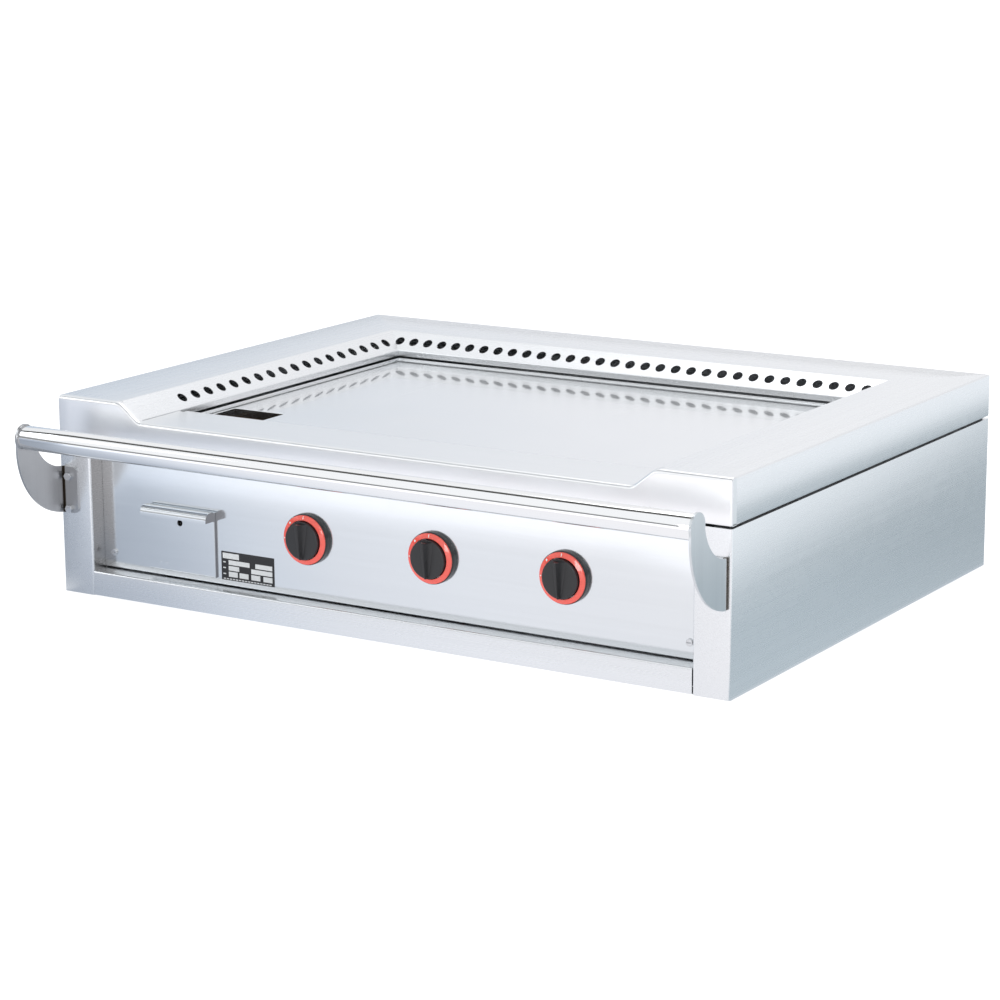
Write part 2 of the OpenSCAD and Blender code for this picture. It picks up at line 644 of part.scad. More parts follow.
// Black bezel on the panel round each knob
module bezel(x) {
    color(black) from_corner() translate([x, pan_y, knob_z]) rotate([90, 0, 0]) rotate_extrude()
        polygon([[knob_d / 2 + 0.7, 0], [ring_d / 2 + 1.5, 0], [ring_d / 2 + 1.2, 6.5],
            [ring_d / 2 + 0.2, 7.5], [knob_d / 2 + 0.7, 9.6]]);
}
module bezel_1() { bezel(knob_x[0]); }
module bezel_2() { bezel(knob_x[1]); }
module bezel_3() { bezel(knob_x[2]); }

// Coloured conical dial ring on the front of each bezel
module dial_ring(x) {
    color(coral) from_corner() translate([x, pan_y, knob_z]) rotate([90, 0, 0]) rotate_extrude()
        polygon([[knob_d / 2 + 0.7, 9.6], [ring_d / 2 + 0.2, 7.5], [ring_d / 2 + 0.2, 8.3],
            [ring_d / 2 - 0.6, 9.1], [knob_d / 2 + 1.2, 11.1], [knob_d / 2 + 0.7, 10.8]]);
}
module dial_ring_1() { dial_ring(knob_x[0]); }
module dial_ring_2() { dial_ring(knob_x[1]); }
module dial_ring_3() { dial_ring(knob_x[2]); }

// Blank data plate on the control panel
module rating_plate() {
    color(black) from_corner() box([244.5, pan_y - 0.8, 42], [328.5, pan_y, 80]);
}

// ---------------------------------------------------------------- hand rail

// Polished tube across the front
module rail_tube() {
    color([0.9, 0.9, 0.91]) from_corner() difference() {
        cyl_x(-tube_out, tube_z, 7, body_w - 7, tube_d / 2);
        cyl_x(-tube_out, tube_z, 6, body_w - 6, tube_d / 2 - tube_wall);
    }
}

// Crescent plate with a flange that bolts to the front upright
module bracket_shape() {
    difference() {
        union() {
            ex_x(4, 7) {
                intersection() {
                    difference() {
                        translate([8, 208]) circle(r = 99.5, $fn = 96);
                        translate([0, 231]) circle(r = 59.5, $fn = 96);
                    }
                    translate([-120, 100]) square([120, tube_z - 100]);
                }
                translate([-tube_out, tube_z]) circle(d = tube_d + 3.2, $fn = 64);
            }
            ex_y(-3, 0) difference() {
                translate([4, 109]) square([26, 62.5]);
                difference() {
                    translate([22, 163.5]) square([9, 9]);
                    translate([22, 163.5]) circle(r = 8);
                }
                difference() {
                    translate([22, 108]) square([9, 9]);
                    translate([22, 117]) circle(r = 8);
                }
            }
        }
        for (z = [114.5, 158.5]) cyl_y(16, z, -5, 2, 3.2);
        difference() {
            box([3, -brk_r, 99], [4 + brk_r, 1, 178]);
            cyl_z(4 + brk_r, -brk_r, 98, 179, brk_r);
        }
    }
}
module rail_bracket_left() { color(steel) from_corner() bracket_shape(); }
module rail_bracket_right() { color(steel) from_corner() to_right() bracket_shape(); }

// Four hexagon bolts that hold the brackets
module rail_bolts() {
    color(steel) from_corner()
        for (x = [16, body_w - 16], z = [114.5, 158.5]) {
            cyl_y(x, z, -3.5, 12, 3);
            translate([x, -7, z]) rotate([-90, 0, 0]) cylinder(h = 4, r = 5.77, $fn = 6);
        }
}

base_pan();
side_panel_left();
side_panel_right();
back_panel();
back_screws();
front_bottom_rail();
front_top_rail();
control_panel();
panel_screws();
seat_frame();
rim_left();
rim_right();
rim_back();
front_trim();
griddle_plate();
front_bearer();
firebox();
firebox_stands();
grease_chute();
drawer_front();
drawer_box();
drawer_runner_left();
drawer_runner_right();
burner_1();
burner_2();
burner_3();
burner_supports();
injectors();
feed_tube_1();
feed_tube_2();
feed_tube_3();
gas_manifold();
gas_inlet();
gas_valve_1();
gas_valve_2();
gas_valve_3();
valve_plug_1();
valve_plug_2();
valve_plug_3();
valve_stem_1();
valve_stem_2();
valve_stem_3();
return_spring_1();
return_spring_2();
return_spring_3();
knob_1();
knob_2();
knob_3();
bezel_1();
bezel_2();
bezel_3();
dial_ring_1();
dial_ring_2();
dial_ring_3();
rating_plate();
rail_tube();
rail_bracket_left();
rail_bracket_right();
rail_bolts();
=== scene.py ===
import math
import bpy
import bmesh
import numpy as np
from mathutils import Vector, Matrix


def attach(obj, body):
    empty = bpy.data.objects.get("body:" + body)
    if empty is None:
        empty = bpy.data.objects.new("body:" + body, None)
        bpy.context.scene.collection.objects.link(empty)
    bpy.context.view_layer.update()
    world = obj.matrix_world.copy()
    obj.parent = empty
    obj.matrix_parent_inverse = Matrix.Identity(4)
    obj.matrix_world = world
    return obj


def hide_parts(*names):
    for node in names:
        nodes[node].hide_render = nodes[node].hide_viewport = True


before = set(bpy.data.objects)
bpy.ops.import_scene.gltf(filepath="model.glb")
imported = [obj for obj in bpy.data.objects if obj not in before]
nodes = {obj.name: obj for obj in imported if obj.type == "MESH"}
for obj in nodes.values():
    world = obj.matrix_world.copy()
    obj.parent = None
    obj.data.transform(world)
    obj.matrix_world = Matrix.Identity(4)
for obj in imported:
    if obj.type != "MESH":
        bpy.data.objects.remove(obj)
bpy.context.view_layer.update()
scene = bpy.context.scene


def C(x, y, z):
    """Corner coordinates in mm (from the front left bottom corner of the cabinet) to the row frame in metres."""
    return Vector(((x - 500.0) / 1000.0, (y - 375.0) / 1000.0, z / 1000.0))


# ------------------------------------------------------------------ materials

class Graph:
    """A small helper that makes and links shader nodes."""

    def __init__(self, name):
        self.mat = bpy.data.materials.new(name)
        self.mat.use_nodes = True
        self.nt = self.mat.node_tree
        self.nt.nodes.clear()
        self.out = self.n("ShaderNodeOutputMaterial")
        self.bsdf = self.n("ShaderNodeBsdfPrincipled")
        self.link(self.bsdf.outputs[0], self.out.inputs[0])
        self.tc = self.n("ShaderNodeTexCoord")

    def n(self, kind, **props):
        node = self.nt.nodes.new(kind)
        for k, v in props.items():
            setattr(node, k, v)
        return node

    def link(self, a, b):
        self.nt.links.new(a, b)

    def put(self, socket, value):
        if isinstance(value, bpy.types.NodeSocket):
            self.link(value, socket)
        else:
            socket.default_value = value

    def mapped(self, scale, loc=(0, 0, 0), rot=(0, 0, 0)):
        m = self.n("ShaderNodeMapping")
        m.inputs["Scale"].default_value = scale
        m.inputs["Location"].default_value = loc
        m.inputs["Rotation"].default_value = rot
        self.link(self.tc.outputs["Object"], m.inputs["Vector"])
        return m.outputs[0]

    def noise(self, vector, scale=1.0, detail=2.0, rough=0.5, distortion=0.0):
        t = self.n("ShaderNodeTexNoise")
        self.link(vector, t.inputs["Vector"])
        t.inputs["Scale"].default_value = scale
        t.inputs["Detail"].default_value = detail
        t.inputs["Roughness"].default_value = rough
        t.inputs["Distortion"].default_value = distortion
        return t.outputs[0]

    def math(self, op, a, b=0.0, clamp=False):
        t = self.n("ShaderNodeMath", operation=op, use_clamp=clamp)
        self.put(t.inputs[0], a)
        self.put(t.inputs[1], b)
        return t.outputs[0]

    def span(self, value, a0, a1, b0, b1):
        t = self.n("ShaderNodeMapRange")
        t.clamp = True
        self.put(t.inputs[0], value)
        for i, v in enumerate((a0, a1, b0, b1)):
            t.inputs[1 + i].default_value = v
        return t.outputs[0]

    def mix(self, fac, a, b):
        t = self.n("ShaderNodeMix", data_type="RGBA")
        self.put(t.inputs[0], fac)
        self.put(t.inputs[6], a)
        self.put(t.inputs[7], b)
        return t.outputs[2]

    def bump(self, height, strength, distance, normal=None):
        t = self.n("ShaderNodeBump")
        t.inputs["Strength"].default_value = strength
        t.inputs["Distance"].default_value = distance
        self.link(height, t.inputs["Height"])
        if normal is not None:
            self.link(normal, t.inputs["Normal"])
        return t.outputs[0]


def rgb(c, a=1.0):
    return (c[0], c[1], c[2], a)


AX = {"X": 0, "Y": 1, "Z": 2}


def steel(name, base, rough, grain="X", tone=0.008, fine=0.022, smear=0.03, bump=0.05, metal=1.0, painted_light_zones=None):
    """Rolled or brushed sheet: long streaks along grain, soft blotches where it was wiped, a few fine scratches."""
    g = Graph(name)
    long = [1500.0, 1500.0, 1500.0]
    long[AX[grain]] = 6.0
    mid = [170.0, 170.0, 170.0]
    mid[AX[grain]] = 1.1
    streak = g.noise(g.mapped(long), 1.0, 2.0, 0.6)
    band = g.noise(g.mapped(mid, (3.1, 1.7, 5.3)), 1.0, 3.0, 0.55)
    blot = g.noise(g.mapped((4.0, 5.0, 9.0), (0.4, 2.2, 0.9)), 1.0, 4.0, 0.55, 0.6)
    wipe = g.noise(g.mapped((16.0, 20.0, 30.0), (7.4, 0.2, 3.9), (0.2, 0.3, 0.5)), 1.0, 5.0, 0.6, 1.2)
    dark = tuple(c * (1.0 - 2.0 * tone) for c in base)
    lite = tuple(min(1.0, c * (1.0 + tone)) for c in base)
    col = g.mix(g.span(band, 0.3, 0.7, 0.0, 1.0), rgb(dark), rgb(lite))
    col = g.mix(g.span(blot, 0.35, 0.75, 0.0, 0.45), col, rgb(tuple(c * (1.0 - tone) for c in (base[0] * 0.99, base[1], base[2] * 1.005))))
    if painted_light_zones:
        # painted light: flat colour inside object-space boxes, darker for painted shade on returns, bends and edges,
        # lighter for a painted brightening of a face
        sx = g.n("ShaderNodeSeparateXYZ")
        g.link(g.tc.outputs["Object"], sx.inputs[0])
        for zone in painted_light_zones[0]:
            painted_zone_mask = None
            for axis, lo_, hi_ in zone:
                v_ = sx.outputs[axis]
                if lo_ is not None:
                    t_ = g.math("GREATER_THAN", v_, lo_)
                    painted_zone_mask = t_ if painted_zone_mask is None else g.math("MULTIPLY", painted_zone_mask, t_)
                if hi_ is not None:
                    t_ = g.math("LESS_THAN", v_, hi_)
                    painted_zone_mask = t_ if painted_zone_mask is None else g.math("MULTIPLY", painted_zone_mask, t_)
            col = g.mix(painted_zone_mask, col, rgb(painted_light_zones[1]))
    g.link(col, g.bsdf.inputs["Base Color"])
    r = g.math("ADD", g.span(streak, 0.25, 0.75, rough - fine, rough + fine), g.span(wipe, 0.45, 0.75, 0.0, smear))
    r = g.math("ADD", r, g.span(band, 0.3, 0.7, -0.35 * fine, 0.35 * fine), clamp=True)
    g.link(r, g.bsdf.inputs["Roughness"])
    g.bsdf.inputs["Metallic"].default_value = metal
    nrm = g.bump(streak, bump, 0.00012)
    nrm = g.bump(blot, 0.03, 0.004, nrm)
    g.link(nrm, g.bsdf.inputs["Normal"])
    return g.mat


def plastic(name, base, rough, grit=900.0, bump=0.08, vary=0.12, coat=0.0):
    """Moulded plastic: very fine texture, slight sheen differences from handling."""
    g = Graph(name)
    fine = g.noise(g.mapped((grit, grit, grit)), 1.0, 3.0, 0.6)
    hand = g.noise(g.mapped((60.0, 60.0, 60.0), (1.3, 0.2, 4.0)), 1.0, 4.0, 0.6, 0.8)
    dark = tuple(c * (1.0 - vary) for c in base)
    col = g.mix(g.span(hand, 0.3, 0.75, 0.0, 1.0), rgb(dark), rgb(base))
    g.link(col, g.bsdf.inputs["Base Color"])
    g.link(g.span(hand, 0.3, 0.75, rough * 0.82, min(1.0, rough * 1.18)), g.bsdf.inputs["Roughness"])
    g.bsdf.inputs["Coat Weight"].default_value = coat
    g.bsdf.inputs["Coat Roughness"].default_value = 0.06
    g.link(g.bump(fine, bump, 0.0001), g.bsdf.inputs["Normal"])
    return g.mat


def paint(name, base, rough, vary=0.06):
    g = Graph(name)
    a = g.noise(g.mapped((30.0, 30.0, 30.0)), 1.0, 5.0, 0.6, 0.3)
    b = g.noise(g.mapped((700.0, 700.0, 700.0)), 1.0, 2.0, 0.5)
    col = g.mix(g.span(a, 0.3, 0.7, 0.0, 1.0), rgb(tuple(c * (1 - vary) for c in base)), rgb(tuple(min(1, c * (1 + vary)) for c in base)))
    g.link(col, g.bsdf.inputs["Base Color"])
    g.link(g.span(a, 0.3, 0.7, rough * 0.85, min(1.0, rough * 1.15)), g.bsdf.inputs["Roughness"])
    g.link(g.bump(b, 0.15, 0.0002), g.bsdf.inputs["Normal"])
    return g.mat


def burnt(name):
    """Burner steel: dark scale with rusty brown and bluish patches from the heat."""
    g = Graph(name)
    a = g.noise(g.mapped((14.0, 14.0, 14.0)), 1.0, 6.0, 0.6, 0.8)
    b = g.noise(g.mapped((55.0, 55.0, 55.0), (2, 5, 1)), 1.0, 5.0, 0.65, 0.4)
    c = g.noise(g.mapped((900.0, 900.0, 900.0)), 1.0, 3.0, 0.6)
    col = g.mix(g.span(a, 0.35, 0.65, 0, 1), rgb((0.055, 0.052, 0.055)), rgb((0.17, 0.12, 0.09)))
    col = g.mix(g.span(b, 0.5, 0.7, 0, 0.7), col, rgb((0.10, 0.12, 0.17)))
    g.link(col, g.bsdf.inputs["Base Color"])
    g.bsdf.inputs["Metallic"].default_value = 0.7
    g.link(g.span(b, 0.3, 0.7, 0.45, 0.75), g.bsdf.inputs["Roughness"])
    g.link(g.bump(c, 0.3, 0.0003), g.bsdf.inputs["Normal"])
    return g.mat


def brass(name):
    g = Graph(name)
    a = g.noise(g.mapped((80.0, 80.0, 80.0)), 1.0, 5.0, 0.6, 0.5)
    s = g.noise(g.mapped((900.0, 60.0, 900.0)), 1.0, 2.0, 0.5)
    col = g.mix(g.span(a, 0.35, 0.7, 0, 1), rgb((0.72, 0.52, 0.21)), rgb((0.52, 0.36, 0.14)))
    g.link(col, g.bsdf.inputs["Base Color"])
    g.bsdf.inputs["Metallic"].default_value = 1.0
    g.link(g.span(a, 0.3, 0.7, 0.22, 0.38), g.bsdf.inputs["Roughness"])
    g.link(g.bump(s, 0.15, 0.0001), g.bsdf.inputs["Normal"])
    return g.mat


def griddle(name):
    """Polished griddle plate: nearly a mirror, with polishing lines front to back, hairline scraper marks and a faint heat tint."""
    g = Graph(name)
    lines = g.noise(g.mapped((1100.0, 9.0, 1100.0)), 1.0, 2.0, 0.6)
    soft = g.noise(g.mapped((5.0, 4.0, 5.0), (1, 4, 2)), 1.0, 4.0, 0.5, 0.7)
    scr = g.noise(g.mapped((520.0, 3.0, 60.0), (0.3, 0.1, 0), (0, 0, 0.35)), 1.0, 1.0, 0.4)
    tint = g.noise(g.mapped((3.2, 3.8, 3.0), (5, 1, 2)), 1.0, 3.0, 0.5)
    col = g.mix(g.span(soft, 0.3, 0.7, 0, 1), rgb((0.70, 0.725, 0.745)), rgb((0.75, 0.77, 0.785)))
    col = g.mix(g.span(tint, 0.56, 0.75, 0, 0.35), col, rgb((0.72, 0.70, 0.66)))
    g.link(col, g.bsdf.inputs["Base Color"])
    g.bsdf.inputs["Metallic"].default_value = 1.0
    r = g.math("ADD", g.span(lines, 0.3, 0.7, 0.155, 0.185), g.span(scr, 0.66, 0.74, 0.0, 0.08))
    r = g.math("ADD", r, g.span(soft, 0.4, 0.75, 0.0, 0.04))
    g.link(r, g.bsdf.inputs["Roughness"])
    g.bsdf.inputs["Coat Weight"].default_value = 1.0
    g.bsdf.inputs["Coat IOR"].default_value = 1.7
    g.bsdf.inputs["Coat Roughness"].default_value = 0.035
    n1 = g.bump(soft, 0.02, 0.004)
    n2 = g.bump(lines, 0.03, 0.0001, n1)
    g.link(n2, g.bsdf.inputs["Normal"])
    return g.mat


M = {}
SHEET = (0.80, 0.815, 0.83)
M["sheet_x"] = steel("sheet_grain_x", SHEET, 0.27, "X")
M["sheet_y"] = steel("sheet_grain_y", SHEET, 0.27, "Y")
M["sheet_z"] = steel("sheet_grain_z", SHEET, 0.27, "Z")
M["panel"] = steel("panel_brushed", (0.765, 0.79, 0.81), 0.15, "X")
# painted shade: the inner returns of the front columns are coloured darker, standing in for the shade and dark
# reflection beside the control panel
RETURN_PAINTED_SHADE = (0.36, 0.35, 0.345)
M["side_left"] = steel("side_sheet_left_painted_shade", SHEET, 0.27, "Y", painted_light_zones=([((0, -0.4518, None), (1, -0.3722, -0.3468))], RETURN_PAINTED_SHADE))
M["side_right"] = steel("side_sheet_right_painted_shade", SHEET, 0.27, "Y", painted_light_zones=([((0, None, 0.4518), (1, -0.3722, -0.3468))], RETURN_PAINTED_SHADE))
# painted shade: the end cap of the drawer hood and the rear strip of its right side are coloured dark, standing in for
# the shadow there
M["drawer"] = steel("drawer_brushed_painted_shade", (0.765, 0.79, 0.81), 0.17, "X", painted_light_zones=([((0, -0.26372, None), (2, 0.1178, None)), ((0, -0.26372, None), (1, -0.3532, None))], (0.27, 0.27, 0.28)))
# painted light: the vertical apron face is coloured lighter than the rest of the trim, standing in for a brighter
# reflection
M["trim"] = steel("trim_brushed_painted_light", SHEET, 0.31, "X", painted_light_zones=([((1, None, -0.3743),)], (0.94, 0.945, 0.955)))
M["chute"] = steel("chute_greasy", (0.17, 0.12, 0.085), 0.34, "Z", tone=0.15, smear=0.10)
# painted shadow: the seat frame in the seam is coloured near black so that the seam shows as a dark shadow line
M["seat"] = paint("seat_frame_painted_shadow", (0.012, 0.012, 0.014), 0.55)
M["dark_x"] = steel("mill_steel_x", (0.40, 0.41, 0.43), 0.42, "X", tone=0.06)
M["dark_z"] = steel("mill_steel_z", (0.40, 0.41, 0.43), 0.42, "Z", tone=0.06)
M["rail"] = steel("rail_polished", (0.88, 0.885, 0.89), 0.06, "X", tone=0.006, fine=0.012, smear=0.02, bump=0.02)
# painted shade: the left bracket's base colour is darker than the right one's for the same steel, and both brackets are
# coloured dark brown at the bend beside the column, standing in for shade there
M["bracket"] = steel("bracket_left_painted_shade", (0.47, 0.475, 0.485), 0.30, "Z", tone=0.02, painted_light_zones=([((0, None, -0.4902), (1, -0.3802, None))], (0.10, 0.085, 0.07)))
M["bracket_r"] = steel("bracket_right_painted_shade", (0.64, 0.67, 0.69), 0.30, "Z", tone=0.02, painted_light_zones=([((0, 0.4902, None), (1, -0.3802, None))], (0.10, 0.085, 0.07)))
M["bolt"] = steel("fastener_steel", (0.70, 0.71, 0.73), 0.24, "Y", tone=0.04)
M["plate"] = griddle("griddle_plate_polished")
M["burner"] = burnt("burner_heat_scale")
M["brass"] = brass("gas_brass")
M["pipe"] = paint("zinc_pipe", (0.42, 0.43, 0.45), 0.42)
M["black"] = plastic("knob_black_plastic", (0.017, 0.017, 0.019), 0.36, 1300.0, 0.10)
M["bezel"] = plastic("bezel_black_plastic", (0.008, 0.008, 0.009), 0.33, 1300.0, 0.012, coat=0.15)
M["coral"] = plastic("dial_red_plastic", (0.84, 0.085, 0.055), 0.24, 700.0, 0.01, 0.06, coat=1.0)
M["white"] = plastic("dial_mark_white", (0.82, 0.82, 0.80), 0.45, 900.0, 0.03, 0.03)
M["film"] = plastic("data_plate_film", (0.012, 0.012, 0.014), 0.30, 500.0, 0.03)
M["field"] = plastic("data_plate_fields", (0.62, 0.64, 0.65), 0.40, 500.0, 0.03, 0.05)

WEAR = {
    "base_pan": "sheet_x", "side_panel_left": "side_left", "side_panel_right": "side_right", "back_panel": "sheet_x",
    "front_bottom_rail": "sheet_x", "front_top_rail": "sheet_x", "control_panel": "panel",
    "rim_left": "sheet_y", "rim_right": "sheet_y", "rim_back": "sheet_x", "front_trim": "sheet_x",
    "drawer_front": "drawer", "drawer_box": "sheet_y", "grease_chute": "chute",
    "griddle_plate": "plate", "seat_frame": "seat", "front_bearer": "dark_x", "firebox": "dark_x",
    "firebox_stands": "dark_z", "drawer_runner_left": "dark_z", "drawer_runner_right": "dark_z", "burner_supports": "dark_x",
    "burner_1": "burner", "burner_2": "burner", "burner_3": "burner",
    "injectors": "brass", "feed_tube_1": "brass", "feed_tube_2": "brass", "feed_tube_3": "brass",
    "gas_inlet": "brass", "gas_valve_1": "brass", "gas_valve_2": "brass", "gas_valve_3": "brass",
    "valve_plug_1": "brass", "valve_plug_2": "brass", "valve_plug_3": "brass",
    "gas_manifold": "pipe", "back_screws": "bolt", "panel_screws": "bolt", "rail_bolts": "bolt",
    "valve_stem_1": "bolt", "valve_stem_2": "bolt", "valve_stem_3": "bolt",
    "return_spring_1": "bolt", "return_spring_2": "bolt", "return_spring_3": "bolt",
    "knob_1": "black", "knob_2": "black", "knob_3": "black", "bezel_1": "bezel", "bezel_2": "bezel", "bezel_3": "bezel",
    "dial_ring_1": "coral", "dial_ring_2": "coral", "dial_ring_3": "coral", "rating_plate": "film",
    "rail_tube": "rail", "rail_bracket_left": "bracket", "rail_bracket_right": "bracket_r",
}
for name, obj in nodes.items():
    obj.data.materials.clear()
    obj.data.materials.append(M[WEAR[name]])

# ------------------------------------------------------------------ edges of the CAD sheets and castings


def smooth_group(angle):
    """Smooth faces with sharp edges above an angle, as a modifier, so that the CAD mesh itself stays as it is."""
    g = bpy.data.node_groups.new("smooth_by_angle", "GeometryNodeTree")
    g.interface.new_socket("Geometry", in_out="INPUT", socket_type="NodeSocketGeometry")
    g.interface.new_socket("Geometry", in_out="OUTPUT", socket_type="NodeSocketGeometry")
    gi, go = g.nodes.new("NodeGroupInput"), g.nodes.new("NodeGroupOutput")
    s1, s2 = g.nodes.new("GeometryNodeSetShadeSmooth"), g.nodes.new("GeometryNodeSetShadeSmooth")
    s1.domain, s2.domain = "FACE", "EDGE"
    s1.inputs["Shade Smooth"].default_value = True
    s2.inputs["Shade Smooth"].default_value = False
    ea = g.nodes.new("GeometryNodeInputMeshEdgeAngle")
    cmp = g.nodes.new("FunctionNodeCompare")
    cmp.data_type, cmp.operation = "FLOAT", "GREATER_THAN"
    cmp.inputs[1].default_value = math.radians(angle)
    g.links.new(ea.outputs[0], cmp.inputs[0])
    g.links.new(gi.outputs[0], s1.inputs[0])
    g.links.new(s1.outputs[0], s2.inputs[0])
    g.links.new(cmp.outputs[0], s2.inputs["Selection"])
    g.links.new(s2.outputs[0], go.inputs[0])
    return g


SMOOTH = smooth_group(32.0)


def soften(name, width, angle=32.0, segments=2, planar=True):
    """Small worn edges on a CAD node, from modifiers only."""
    o = nodes[name]
    w = o.modifiers.new("weld", "WELD")
    w.merge_threshold = 1e-6
    if planar:
        d = o.modifiers.new("flat", "DECIMATE")
        d.decimate_type = "DISSOLVE"
        d.angle_limit = math.radians(0.6)
    g = o.modifiers.new("smooth", "NODES")
    g.node_group = SMOOTH
    if width > 0:
        b = o.modifiers.new("edge", "BEVEL")
        b.width = width
        b.segments = segments
        b.limit_method = "ANGLE"
        b.angle_limit = math.radians(angle)
        b.harden_normals = True
        b.use_clamp_overlap = True
    return o


EDGE = {"griddle_plate": 0.0009, "seat_frame": 0.0003, "firebox": 0.0004, "firebox_stands": 0.0004, "burner_supports": 0.0006,
        "rail_bracket_left": 0.001, "rail_bracket_right": 0.0009, "rail_bolts": 0.0004, "gas_inlet": 0.0005,
        "gas_valve_1": 0.0006, "gas_valve_2": 0.0006, "gas_valve_3": 0.0006, "gas_manifold": 0.0005, "rating_plate": 0.00025,
        "injectors": 0.0004, "valve_plug_1": 0.0002, "valve_plug_2": 0.0002, "valve_plug_3": 0.0002,
        "valve_stem_1": 0.0003, "valve_stem_2": 0.0003, "valve_stem_3": 0.0003,
        "return_spring_1": 0.0, "return_spring_2": 0.0, "return_spring_3": 0.0,
        "feed_tube_1": 0.0, "feed_tube_2": 0.0, "feed_tube_3": 0.0, "burner_1": 0.0003, "burner_2": 0.0003, "burner_3": 0.0003,
        "panel_screws": 0.0005, "back_screws": 0.0005}
for name in nodes:
    soften(name, EDGE.get(name, 0.00035))


# ------------------------------------------------------------------ mesh helpers

def make(name, verts, faces, mat, body, smooth=True, sharp=35.0):
    me = bpy.data.meshes.new(name)
    me.from_pydata([tuple(v) for v in verts], [], faces)
    bm = bmesh.new()
    bm.from_mesh(me)
    bmesh.ops.remove_doubles(bm, verts=bm.verts, dist=1e-6)
    bmesh.ops.recalc_face_normals(bm, faces=bm.faces)
    for f in bm.faces:
        f.smooth = smooth
    for e in bm.edges:
        if len(e.link_faces) == 2 and e.calc_face_angle(0.0) > math.radians(sharp):
            e.smooth = False
    bm.to_mesh(me)
    bm.free()
    me.materials.append(mat)
    o = bpy.data.objects.new(name, me)
    scene.collection.objects.link(o)
    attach(o, body)
    return o


def closed_grid(rows, cap=True):
    """rows: list of equally long closed sections (lists of points). Quads between them, and flat ends."""
    n = len(rows[0])
    verts = [p for r in rows for p in r]
    faces = []
    for i in range(len(rows) - 1):
        for k in range(n):
            k2 = (k + 1) % n
            faces.append((i * n + k, i * n + k2, (i + 1) * n + k2, (i + 1) * n + k))
    if cap:
        faces.append(tuple(range(n - 1, -1, -1)))
        faces.append(tuple((len(rows) - 1) * n + k for k in range(n)))
    return verts, faces


def arc2(p0, p1, p2, r, n):
    """2-D fillet of radius r at p1, as n + 1 points."""
    p0, p1, p2 = (np.array(p, float) for p in (p0, p1, p2))
    u, v = (p0 - p1) / np.linalg.norm(p0 - p1), (p2 - p1) / np.linalg.norm(p2 - p1)
    h = math.acos(max(-1, min(1, float(u @ v)))) / 2
    d = r / math.tan(h)
    o = p1 + (u + v) / np.linalg.norm(u + v) * r / math.sin(h)
    a, b = p1 + d * u - o, p1 + d * v - o
    t0 = math.atan2(a[1], a[0])
    t1 = math.atan2(b[1], b[0])
    dt = (t1 - t0 + math.pi) % (2 * math.pi) - math.pi
    return [tuple(o + r * np.array([math.cos(t0 + dt * i / n), math.sin(t0 + dt * i / n)])) for i in range(n + 1)]


# ------------------------------------------------------------------ front of the surround

BW, BD, Z0, ZT, ZS, ZP = 1000.0, 750.0, 208.0, 266.0, 242.0, 230.0
TT, EDGE_R, EDGE_BACK, STRIP_D = 1.5, 5.5, 11.0, 97.0
END_R = 2.5


def top_edge():
    """Front top edge of the surround in XZ: rim, slope, strip, slope, rim, with soft bends."""
    A, B, Cc = (0.0, ZT), (102.0, ZT), (132.0, ZS)
    D, E, F = (868.0, ZS), (898.0, ZT), (1000.0, ZT)
    left = arc2(A, B, Cc, 24.0, 14) + arc2(B, Cc, D, 14.0, 10)
    right = arc2(Cc, D, E, 14.0, 10) + arc2(D, E, F, 24.0, 14)
    return left, right


def trim_section(x, z, inset, back, lip):
    """One closed section in YZ at x: hem, apron, rounded front edge, flat, rear bend and lip; the inner side is TT behind."""
    rb = 2.5
    outer, inner = [], []

    def both(p, q):
        outer.append((x, p[0], p[1]))
        inner.append((x, q[0], q[1]))
    i = inset
    both((20.0, Z0 + i), (20.0, Z0 + TT))
    for a in range(0, 91, 15):
        s, c = math.sin(math.radians(a)), math.cos(math.radians(a))
        ro, ri = rb, rb - TT
        oy, oz = rb, Z0 + rb
        both((oy - ro * s + i * s, oz - ro * c + i * c), (oy - ri * s + 0.0, oz - ri * c))
    cy, cz = EDGE_R, z - EDGE_R
    for k in range(1, 4):
        h = Z0 + rb + (cz - Z0 - rb) * k / 4.0
        both((i, h), (TT, h))
    for a in range(0, 91, 6):
        s, c = math.sin(math.radians(a)), math.cos(math.radians(a))
        both((cy - (EDGE_R - i) * c, cz + (EDGE_R - i) * s), (cy - (EDGE_R - TT) * c, cz + (EDGE_R - TT) * s))
    if lip:
        for k in range(1, 9):
            y = EDGE_R + (back - rb - EDGE_R) * k / 8.0
            both((y, z - i), (y, z - TT))
        for a in range(0, 91, 15):
            s, c = math.sin(math.radians(a)), math.cos(math.radians(a))
            both((back - rb + rb * s, z - rb + rb * c), (back - rb + (rb - TT) * s, z - rb + (rb - TT) * c))
        both((back, ZP + 0.2), (back - TT, ZP + 0.2))
    else:
        for k in range(1, 9):
            y = EDGE_R + (back - EDGE_R) * k / 8.0
            both((y, z - i), (y, z - TT))
        for a in range(0, 91, 15):
            both((back, z - i), (back, z - TT))
        both((back, z - i), (back, z - TT))
    return outer + inner[::-1]


left, right = top_edge()
rows = []
for k in range(0, 7):
    th = math.radians(15.0 * k)
    rows.append(trim_section(END_R * (1 - math.cos(th)), ZT, END_R * (1 - math.sin(th)), EDGE_BACK, False))
for x in (20.0, 40.0, 60.0, 80.0):
    rows.append(trim_section(x, ZT, 0.0, EDGE_BACK, False))
SX = 133.0
done = False


def zedge(pts, x):
    for (xa, za), (xb, zb) in zip(pts, pts[1:]):
        if xa <= x <= xb:
            return za + (zb - za) * (x - xa) / max(1e-9, xb - xa)
    return pts[-1][1] if x > pts[-1][0] else pts[0][1]


